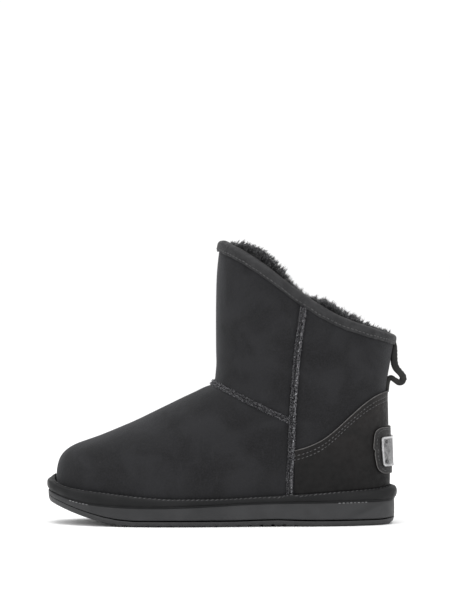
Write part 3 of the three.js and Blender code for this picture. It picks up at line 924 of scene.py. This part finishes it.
def fold_depth(points, normals, fold):
    """Depth of one soft fold at each point: deepest along its line, fading at both ends."""
    start = np.array([TOE_X + fold["start"][0] * MM, fold["start"][1] * MM])
    end = np.array([TOE_X + fold["end"][0] * MM, fold["end"][1] * MM])
    run = end - start
    length = np.linalg.norm(run)
    flat = points[:, [0, 2]] - start
    share = flat @ run / length ** 2
    sideways = (flat[:, 0] * run[1] - flat[:, 1] * run[0]) / length
    sideways = sideways - 1.6 * MM * np.sin(share * 2 * math.pi)
    width = fold["width"] * MM
    trough = np.exp(-((sideways / width) ** 2)) - 0.55 * np.exp(-(((sideways + 1.5 * width) / width) ** 2))
    fade = np.clip(1 - np.abs(2 * share - 1), 0, 1) ** 0.8
    facing = np.clip(normals[:, 1] * fold["side"], 0, 1) ** 0.7
    return fold["depth"] * MM * trough * fade * facing


def make_upper():
    skin = merged_copy("upper", "upper_skin")
    mark_outside(skin)
    subdivided(skin, 2, hold=1)
    shape_upper(skin)
    skin.data.materials.append(suede)
    skin.data.materials.append(lining_wool)
    keep(skin, None, "suede", "upper")
    return skin


def seam_section(half_width, height):
    """Two raw edges side by side with the stitch sunk between them."""
    over = [(-1.0, -0.1), (-0.98, 0.45), (-0.8, 0.86), (-0.52, 1.0), (-0.2, 0.8), (0.0, 0.3),
            (0.2, 0.8), (0.52, 1.0), (0.8, 0.86), (0.98, 0.45), (1.0, -0.1)]
    under = [(0.6, -0.25), (-0.6, -0.25)]
    return [(share * half_width, rise * height) for share, rise in over + under]


def seam_fuzz(name, routes, half_width, height, seed):
    rng = np.random.default_rng(seed)
    roots = []
    leans = []
    for route in routes:
        for place, along, across, normal in frames_along(route):
            for _ in range(5):
                share = rng.choice([-1, 1]) * rng.uniform(0.25, 1.0)
                rise = height * (1.0 - 0.45 * abs(share) ** 3) * rng.uniform(0.7, 0.98)
                roots.append(place + across * share * half_width + normal * rise
                             + along * rng.uniform(-0.3, 0.3) * MM)
                leans.append(normal * 0.8 + across * share * 0.7 + along * rng.normal() * 0.5
                             - Vector((0, 0, 0.25)))
    lengths = rng.uniform(0.7, 1.7, size=len(roots)) * MM
    return tufts(name, np.array(roots), np.array(leans), lengths, 2, 0.22 * MM, 0.2 * MM,
                 0.085 * MM, seed + 1)


def rear_side(face, route):
    """Whether a face of a seam is on the rear or upper of its two lips."""
    place, normal = min(route, key=lambda mark: (mark[0] - face.center).length_squared)
    offset = face.center - place
    return offset.x + 0.8 * offset.z > 0


def make_seams(skin_tree):
    sides, vamp = seam_routes(skin_tree)
    routes = {"outer_side_seam": (sides[OUTER], 2.35 * MM, 2.5 * MM),
              "inner_side_seam": (sides[INNER], 2.35 * MM, 2.5 * MM),
              "instep_seam": (vamp[4:-4], 1.8 * MM, 1.6 * MM)}
    threads = []
    for seed, (name, (route, half_width, height)) in enumerate(routes.items()):
        ridge = swept(name, route, seam_section(half_width, height), 0.42 * MM)
        ridge.data.materials.append(painted_shade_pelt_edge)
        ridge.data.materials.append(painted_light_pelt_edge)
        # Painted light: the rear lips of the side seams take the lit copy of the pelt edge, and their front lips
        # and the whole instep seam take the shaded copy.
        for face in ridge.data.polygons:
            face.material_index = int(name != "instep_seam" and rear_side(face, route))
        keep(ridge, None, "suede")
        fuzz = seam_fuzz(name + "_fuzz", [route], half_width, height, 20 + seed)
        keep(fuzz, seam_wool, "fleece")
        threads.append([(p + n * height * 0.42, n) for p, n in spaced(route, 3.1 * MM)])
    keep(stitched("seam_stitches", threads, 2.3 * MM, 0.36 * MM), dark_thread, "suede")


# ---- Collar, counter, patch, plate and loop ------------------------------------------------

def make_binding():
    binding = merged_copy("collar_binding", "collar_binding_folded")
    subdivided(binding, 2, hold=1)
    points = points_of(binding)
    normals = normals_of(binding)
    shift = np.zeros(len(points))
    for i, point in enumerate(points):
        place = Vector(point)
        depth = collar_height(place.x) - place.z
        pucker = noise.noise(Vector((place.x * 210, place.y * 210, place.z * 70)))
        lump = noise.noise(place * 60)
        low = min(max(depth / (8 * MM), 0.0), 1.0)
        shift[i] = (0.22 + 0.2 * low) * MM * pucker + 0.3 * MM * lump
    set_points(binding, points + normals * shift[:, None])
    keep(binding, binding_leather, "smooth_leather", "collar_binding")
    return binding


def binding_foot(tree, angle):
    """Height of the binding's lower edge at an angle round the shaft."""
    heights = [height * MM for height in np.arange(215, 125, -0.4)
               if ring_point(tree, SHAFT_AXIS, angle, height * MM)[0] is not None]
    return min(heights)


def binding_stitches(binding_tree):
    """One row of stitches along the lower edge of the binding."""
    row = []
    for angle in np.linspace(-math.pi, math.pi, 241)[:-1]:
        height = binding_foot(binding_tree, angle) + 1.9 * MM
        place, facing = ring_point(binding_tree, SHAFT_AXIS, angle, height)
        row.append((place + facing * 0.05 * MM, facing))
    row = spaced(softened(row), 3.4 * MM, closed=True)
    keep(stitched("binding_stitches", [row], 2.5 * MM, 0.36 * MM, closed=True), dark_thread,
         "smooth_leather")


COUNTER_THICKNESS = 1.4 * MM
COUNTER_GAP = 0.3 * MM
COUNTER_ROWS = (4.0, 7.0)


def counter_dip(distance):
    """How far the counter is drawn in by its two rows of stitches."""
    return sum(0.24 * MM * math.exp(-(((distance - row) / 0.8) ** 2)) for row in COUNTER_ROWS)


def counter_column(skin_tree, rim_tree, angle):
    """Heights of the counter's foot and top edge at an angle round the heel."""
    top = trace(skin_tree, COUNTER_AXIS, [angle], table_height(COUNTER_TOP))[0][0].z
    low = 33 * MM
    for _ in range(3):
        place, normal = ring_point(skin_tree, COUNTER_AXIS, angle, low)
        flat = Vector((normal.x, normal.y, 0)).normalized()
        above = place + flat * 2.0 * MM
        rim, _ = cast(rim_tree, Vector((above.x, above.y, 0.08)), (0, 0, -1))
        low = rim.z + 0.45 * MM
    return low, top


def counter_point(skin_tree, angle, height, lift):
    place, normal = ring_point(skin_tree, COUNTER_AXIS, angle, height)
    return place + normal * lift, normal


def make_counter(skin_tree, rim_tree):
    near_top = [0, 0.6, 1.3, 2.1, 2.8, 3.4, 4.0, 4.6, 5.2, 5.8, 6.4, 7.0, 7.6, 8.4, 9.6, 11.4]
    lower_steps = 16
    angles = np.radians(np.linspace(-90, 90, 145))
    rows = [[] for _ in range(len(near_top) + lower_steps)]
    stitch_rows = [[] for _ in COUNTER_ROWS]
    for angle in angles:
        low, top = counter_column(skin_tree, rim_tree, angle)
        heights = [top - distance * MM for distance in near_top]
        last = heights[-1]
        heights += [last + (low - last) * (k + 1) / lower_steps for k in range(lower_steps)]
        for row, height in zip(rows, heights):
            distance = (top - height) / MM
            lift = COUNTER_GAP - counter_dip(distance)
            row.append(counter_point(skin_tree, angle, height, lift)[0])
        for row, distance in zip(stitch_rows, COUNTER_ROWS):
            lift = COUNTER_GAP + COUNTER_THICKNESS - counter_dip(distance)
            row.append(counter_point(skin_tree, angle, top - distance * MM, lift))
    counter = grid_piece("heel_counter_panel", rows[::-1])
    counter.data.materials.append(counter_leather)
    counter.data.materials.append(leather_edge)
    face_away(counter, COUNTER_AXIS)
    thickened(counter, COUNTER_THICKNESS, rim_material=1)
    rounded_edges(counter, 0.3 * MM, 60)
    smooth_shade(counter, 50)
    keep(counter, None, "smooth_leather", "heel_counter")
    lip = COUNTER_GAP + 0.75 * COUNTER_THICKNESS
    edge = [counter_point(skin_tree, angle, counter_column(skin_tree, rim_tree, angle)[1], lip)
            for angle in angles]
    bead = swept("counter_edge_bead", spaced(softened(edge), 0.8 * MM), disc(0.42 * MM), 0.12 * MM)
    keep(bead, leather_edge, "smooth_leather")
    rows = [spaced(softened(row), 3.2 * MM) for row in stitch_rows]
    keep(stitched("counter_stitches", rows, 2.2 * MM, 0.34 * MM), grey_thread, "smooth_leather")
    return counter


def face_away(piece, axis):
    """Turns a sheet's faces away from an upright axis."""
    face = piece.data.polygons[len(piece.data.polygons) // 2]
    if face.normal.dot(face.center - axis) < 0:
        piece.data.flip_normals()


def rounded_outline(corners, count):
    """Outline through corners given as (across, height, radius), as evenly spaced points."""
    line = []
    for i, (y, z, radius) in enumerate(corners):
        corner = np.array([y, z])
        before = np.array(corners[i - 1][:2]) - corner
        after = np.array(corners[(i + 1) % len(corners)][:2]) - corner
        first = corner + before / np.linalg.norm(before) * radius
        last = corner + after / np.linalg.norm(after) * radius
        for t in np.linspace(0, 1, 9):
            line.append(first * (1 - t) ** 2 + corner * 2 * t * (1 - t) + last * t ** 2)
    line = np.array(line + line[:1])
    run = np.concatenate([[0], np.cumsum(np.linalg.norm(np.diff(line, axis=0), axis=1))])
    marks = np.linspace(0, run[-1], count + 1)[:-1]
    return np.stack([np.interp(marks, run, line[:, k]) for k in range(2)], axis=1) * MM


def heel_place(tree, y, z, lift=0.0):
    """Place behind the heel at a distance across and a height."""
    place, normal = cast(tree, Vector((REACH, MIDDLE_Y + y, z)), (-1, 0, 0))
    return place + normal * lift, normal


def plaque(name, tree, outline, thickness, rings, rim_material=0, field_ring=99):
    """A thin plate laid on the heel. rings is a row of (distance in from the edge, lift).

    From field_ring inwards its face has the second material.
    """
    middle = outline.mean(axis=0)
    size = np.abs(outline - middle).max(axis=0)
    points = []
    for inset, lift in rings:
        scale = 1 - inset * MM / size
        for y, z in (outline - middle) * scale + middle:
            points.append(heel_place(tree, y, z, lift * MM)[0])
    count = len(outline)
    faces = []
    for ring in range(len(rings) - 1):
        for i in range(count):
            a = ring * count + i
            b = ring * count + (i + 1) % count
            faces.append((a, b, b + count, a + count))
    points.append(heel_place(tree, *middle, rings[-1][1] * MM)[0])
    inner = (len(rings) - 1) * count
    faces += [(inner + i, inner + (i + 1) % count, len(points) - 1) for i in range(count)]
    piece = mesh_piece(name, points, faces)
    for face in piece.data.polygons:
        face.material_index = int(face.index >= field_ring * count)
    face_away(piece, COUNTER_AXIS)
    thickened(piece, thickness * MM, rim_material)
    return piece


PATCH_CORNERS = [(20, 73.2, 0.1), (25.5, 73.2, 5.4), (25.5, 57.4, 0.6), (24.0, 56.2, 0.6), (24.7, 55.0, 0.6),
                 (23.4, 38.8, 6.5), (-23.4, 38.8, 6.5), (-24.7, 55.0, 0.6), (-24.0, 56.2, 0.6),
                 (-25.5, 57.4, 0.6), (-25.5, 73.2, 5.4)]
PLATE_CORNERS = [(21.6, 66.3, 1.8), (20.3, 44, 1.8), (-20.3, 44, 1.8), (-21.6, 66.3, 1.8)]
PATCH_STITCH_INSET = 1.7
RIVETS = [(17.3, 62.6), (17.3, 47.4), (-17.3, 62.6), (-17.3, 47.4)]


def make_patch(counter_tree):
    outline = rounded_outline(PATCH_CORNERS, 150)
    rings = [(0, 0.3), (0.6, 0.3), (1.1, 0.24), (1.7, 0.12), (2.3, 0.24), (3.0, 0.3), (4.5, 0.3), (7, 0.3),
             (10, 0.3), (13, 0.3), (16, 0.3)]
    patch = plaque("heel_patch_tab", counter_tree, outline, 1.3, rings, 1)
    patch.data.materials.append(patch_leather)
    patch.data.materials.append(leather_edge)
    rounded_edges(patch, 0.3 * MM, 60)
    smooth_shade(patch, 50)
    keep(patch, None, "smooth_leather", "heel_patch")
    around = [heel_place(counter_tree, y, z, 1.3 * MM) for y, z in [*outline, *outline[:2]]]
    bead = swept("heel_patch_edge", softened(around), disc(0.36 * MM), 0.08 * MM)
    keep(bead, leather_edge, "smooth_leather")
    middle = outline.mean(axis=0)
    size = np.abs(outline - middle).max(axis=0)
    line = (outline - middle) * (1 - PATCH_STITCH_INSET * MM / size) + middle
    row = [heel_place(counter_tree, y, z, 1.5 * MM) for y, z in line]
    row = spaced(row, 2.7 * MM, closed=True)
    keep(stitched("patch_stitches", [row], 1.9 * MM, 0.3 * MM, closed=True), grey_thread,
         "smooth_leather")
    return patch


def make_plate(counter_tree):
    """A plain pewter plate with a raised border, held by four rivets."""
    outline = rounded_outline(PLATE_CORNERS, 150)
    face = 1.9
    rings = [(0, face), (0.5, face + 0.04), (1.0, face), (1.2, face - 0.22), (1.6, face - 0.25), (3, face - 0.25),
             (5, face - 0.25), (7, face - 0.25), (9, face - 0.25), (10.5, face - 0.25)]
    plate = plaque("heel_name_plate_blank", counter_tree, outline, 1.1, rings, field_ring=2)
    plate.data.materials.append(pewter_border)
    plate.data.materials.append(pewter_field)
    rounded_edges(plate, 0.18 * MM, 60)
    smooth_shade(plate, 50)
    keep(plate, None, "pewter", "heel_plate")
    bpy.ops.object.select_all(action="DESELECT")
    bpy.ops.mesh.primitive_cylinder_add(vertices=20, radius=1.35 * MM, depth=1.2 * MM)
    shape = bpy.context.object
    bpy.ops.object.mode_set(mode="EDIT")
    bpy.ops.mesh.select_all(action="SELECT")
    bpy.ops.mesh.bevel(offset=0.4 * MM, segments=3, affect="EDGES", clamp_overlap=True)
    bpy.ops.object.mode_set(mode="OBJECT")
    places = []
    for y, z in RIVETS:
        place, normal = heel_place(counter_tree, y * MM, z * MM, (face + 1.0) * MM)
        matrix = normal.to_track_quat("Z", "Y").to_matrix().to_4x4()
        matrix.translation = place
        places.append(matrix)
    rivets = repeated("plate_rivets", shape, places)
    bpy.data.objects.remove(shape)
    smooth_shade(rivets, 40)
    keep(rivets, rivet_metal, "pewter")


# The strap's middle line as (length along the boot, height, thickness), from the top down.
LOOP_LINE = [(263.3, 136.4, 2.6), (263.6, 133.4, 3.4), (263.2, 128.5, 4.4), (263.2, 122.0, 5.0),
             (264.6, 117.4, 5.0), (267.7, 113.8, 4.7), (269.9, 110.6, 4.7), (269.2, 107.4, 4.7),
             (266.6, 106.6, 4.4), (263.6, 108.4, 4.0), (261.0, 110.0, 3.8), (258.7, 108.6, 3.6),
             (257.9, 105.0, 3.4), (257.7, 101.6, 3.0),
             (257.7, 99.4, 2.4)]
LOOP_HALF_WIDTH = 5.8 * MM
LOOP_STEPS = 6


def between(rows, steps):
    """Rows of a smooth curve through the given rows."""
    rows = np.array([rows[0], *rows, rows[-1]], dtype=float)
    shares = np.arange(steps) / steps
    out = []
    for a, b, c, d in zip(rows, rows[1:], rows[2:], rows[3:]):
        for t in shares:
            out.append(0.5 * (2 * b + (c - a) * t + (2 * a - 5 * b + 4 * c - d) * t ** 2
                              + (3 * b - a - 3 * c + d) * t ** 3))
    return np.array(out + [rows[-1]])


def strap_ring(middle, normal, half):
    """A section of the strap: flat faces with rounded edges."""
    corner = min(0.8 * MM, half * 0.8)
    ring = []
    for side, lift in ((1, 1), (-1, 1), (-1, -1), (1, -1)):
        turns = (0, 45, 90) if side * lift > 0 else (90, 45, 0)
        for turn in turns:
            across = side * (LOOP_HALF_WIDTH - corner + corner * math.cos(math.radians(turn)))
            height = lift * (half - corner + corner * math.sin(math.radians(turn)))
            ring.append(middle + Vector((0, across, 0)) + normal * height)
    return ring


def make_loop():
    line = between(LOOP_LINE, LOOP_STEPS)
    slopes = np.gradient(line[:, :2], axis=0)
    points = []
    for (x, z, thickness), slope in zip(line, slopes):
        normal = Vector((-slope[1], 0, slope[0])).normalized()
        middle = Vector((TOE_X + x * MM, MIDDLE_Y, z * MM))
        points += strap_ring(middle, normal, thickness / 2 * MM)
    count = 12
    faces = [(r * count + c, r * count + (c + 1) % count, (r + 1) * count + (c + 1) % count,
              (r + 1) * count + c) for r in range(len(line) - 1) for c in range(count)]
    faces.append(tuple(range(count))[::-1])
    faces.append(tuple(len(points) - count + c for c in range(count)))
    loop = mesh_piece("pull_loop_strap", points, faces)
    outward_normals(loop)
    smooth_shade(loop, 50)
    keep(loop, strap_leather, "smooth_leather", "pull_loop")
    loop_tree = tree_of(loop)
    rows = []
    for across in (-4.3 * MM, 4.3 * MM):
        row = []
        for height in np.arange(109.5, 131, 0.5):
            place, normal = cast(loop_tree, Vector((REACH, MIDDLE_Y + across, height * MM)), (-1, 0, 0))
            if place is not None:
                row.append((place, normal))
        rows.append(spaced(row, 3.0 * MM))
    keep(stitched("strap_stitches", rows, 2.1 * MM, 0.3 * MM), grey_thread, "smooth_leather")


# ---- Fleece --------------------------------------------------------------------------------

def sample_inside(piece, count, weight_at, seed):
    """Random places and normals on the lining, by area times a weight of place."""
    rng = np.random.default_rng(seed)
    points = points_of(piece)
    faces = [face for face in piece.data.polygons if face.material_index == 1]
    centres = np.array([face.center for face in faces])
    weights = np.array([face.area for face in faces]) * np.array([weight_at(c) for c in centres])
    chosen = rng.choice(len(faces), size=count, p=weights / weights.sum())
    places = np.empty((count, 3))
    normals = np.empty((count, 3))
    for i, index in enumerate(chosen):
        corners = points[list(faces[index].vertices)]
        shares = rng.dirichlet(np.ones(len(corners)))
        places[i] = shares @ corners
        normals[i] = faces[index].normal
    return places, normals


def depth_below_collar(place):
    return (collar_height(place[0]) - place[2]) / MM


def make_fleece(skin):
    rng = np.random.default_rng(5)

    def rim_weight(place):
        rise = curve_value(FLEECE_RISE, (place[0] - TOE_X) / MM)
        depth = depth_below_collar(place)
        return (0.35 + rise / 4) if 6.5 < depth < 12 else 0.0

    places, normals = sample_inside(skin, 1050, rim_weight, 11)
    rises = np.array([curve_value(FLEECE_RISE, (p[0] - TOE_X) / MM) for p in places])
    depths = np.array([depth_below_collar(p) for p in places])
    lengths = (depths + rises * rng.uniform(0.3, 0.9, size=len(places)) - 0.6) * MM
    leans = normals * rng.uniform(0.12, 0.5, size=(len(places), 1)) + [0.22, 0, 1.0]
    leans = leans + rng.normal(size=leans.shape) * 0.12
    roots = places + normals * 0.3 * MM
    rim = tufts("fleece_rim", roots, leans, lengths, 16, 0.8 * MM, 0.24 * MM, 0.17 * MM, 12)
    keep(rim, rim_wool, "fleece")
    standing = rises > 1.0
    ends = roots + leans / np.linalg.norm(leans, axis=1, keepdims=True) * (lengths[:, None] - 1.6 * MM)
    spikes = leans[standing] + [0.5, 0, 0] + rng.normal(size=leans[standing].shape) * 0.3
    reaches = rng.uniform(2.6, 5.0, size=standing.sum()) * MM
    long_hair = tufts("fleece_tips", ends[standing], spikes, reaches, 8, 0.5 * MM, 0.5 * MM,
                      0.15 * MM, 21)
    keep(long_hair, tip_wool, "fleece")

    def shaft_weight(place):
        depth = depth_below_collar(place)
        return math.exp(-max(depth - 20, 0) / 30) if 7 < depth < 75 else 0.0

    places, normals = sample_inside(skin, 2300, shaft_weight, 13)
    leans = normals + rng.normal(size=normals.shape) * 0.45 + [0, 0, 0.25]
    lengths = rng.uniform(4.0, 6.5, size=len(places)) * MM
    shaft = tufts("fleece_shaft", places, leans, lengths, 8, 1.1 * MM, 0.45 * MM, 0.24 * MM, 14)
    keep(shaft, lining_wool, "fleece")

    def deep_weight(place):
        return 1.0 if depth_below_collar(place) > 55 and place[2] > 30 * MM else 0.0

    places, normals = sample_inside(skin, 1500, deep_weight, 15)
    leans = normals + rng.normal(size=normals.shape) * 0.4
    lengths = rng.uniform(4.0, 6.0, size=len(places)) * MM
    deep = tufts("fleece_foot", places, leans, lengths, 6, 1.3 * MM, 0.5 * MM, 0.28 * MM, 16)
    keep(deep, lining_wool, "fleece")


def make_sock():
    """The insole, with its own pile."""
    insole = merged_copy("insole", "insole_sock", "sides")
    subdivided(insole, 1)
    keep(insole, lining_wool, "fleece", "insole")
    for face in insole.data.polygons:
        face.material_index = 1 if face.normal.z > 0.8 else 0
    places, normals = sample_inside(insole, 1500, lambda place: 1.0, 17)
    for face in insole.data.polygons:
        face.material_index = 0
    rng = np.random.default_rng(18)
    leans = normals + rng.normal(size=normals.shape) * 0.4
    lengths = rng.uniform(3.5, 5.0, size=len(places)) * MM
    pile = tufts("fleece_sock", places, leans, lengths, 6, 1.3 * MM, 0.5 * MM, 0.28 * MM, 19)
    keep(pile, lining_wool, "fleece")


# ---- Studio --------------------------------------------------------------------------------

def make_camera():
    camera = bpy.data.objects.new("camera", bpy.data.cameras.new("camera"))
    bpy.context.scene.collection.objects.link(camera)
    camera.data.sensor_width = 36.0
    camera.data.lens = 237.8
    camera.location = (SOLE_AXIS.x - 14.9 * MM, -3.0, 0.236)
    aim = Vector((SOLE_AXIS.x - 14.9 * MM, 0.0, 0.1689))
    camera.rotation_euler = (aim - camera.location).to_track_quat("-Z", "Y").to_euler()
    bpy.context.scene.camera = camera


def soft_light(name, place, aim, size, power):
    light = bpy.data.lights.new(name, "AREA")
    light.shape = "RECTANGLE"
    light.size, light.size_y = size
    light.energy = power
    lamp = bpy.data.objects.new(name, light)
    bpy.context.scene.collection.objects.link(lamp)
    lamp.location = place
    lamp.rotation_euler = (Vector(aim) - Vector(place)).to_track_quat("-Z", "Y").to_euler()


def make_studio():
    bpy.ops.object.select_all(action="DESELECT")
    bpy.ops.mesh.primitive_plane_add(size=30)
    floor = bpy.context.object
    floor.name = "studio_floor"
    paper = Finish("pale_paper", 0.9, specular=0.1)
    grain = paper.speckle(0.02, detail=3)
    floor.data.materials.append(paper.done(paper.mix(grain, (0.975, 0.975, 0.975), (0.985, 0.985, 0.985))))
    world = bpy.data.worlds.new("white_room")
    bpy.context.scene.world = world
    world.use_nodes = True
    world.node_tree.nodes["Background"].inputs["Color"].default_value = (1, 1, 1, 1)
    world.node_tree.nodes["Background"].inputs["Strength"].default_value = 1.04
    soft_light("overhead", (-0.15, -0.25, 1.6), (0, 0, 0.05), (1.4, 1.0), 15)
    soft_light("front_left", (-1.1, -1.5, 0.9), (0, 0, 0.1), (0.9, 0.9), 7)
    soft_light("front_right", (1.3, -1.3, 0.7), (0, 0, 0.1), (0.7, 0.9), 4)
    bpy.context.scene.view_settings.view_transform = "Standard"


# ---- Build ---------------------------------------------------------------------------------

make_camera()
make_studio()
rim, midsole = make_sole()
rim_tree = tree_of(rim)
skin = make_upper()
skin_tree = tree_of(skin)
sole_stitches(skin_tree, rim_tree, tree_of(midsole))
make_seams(skin_tree)
counter = make_counter(skin_tree, rim_tree)
counter_tree = tree_of(counter)
make_patch(counter_tree)
make_plate(counter_tree)
make_loop()
binding = make_binding()
binding_stitches(tree_of(binding))
make_fleece(skin)
make_sock()
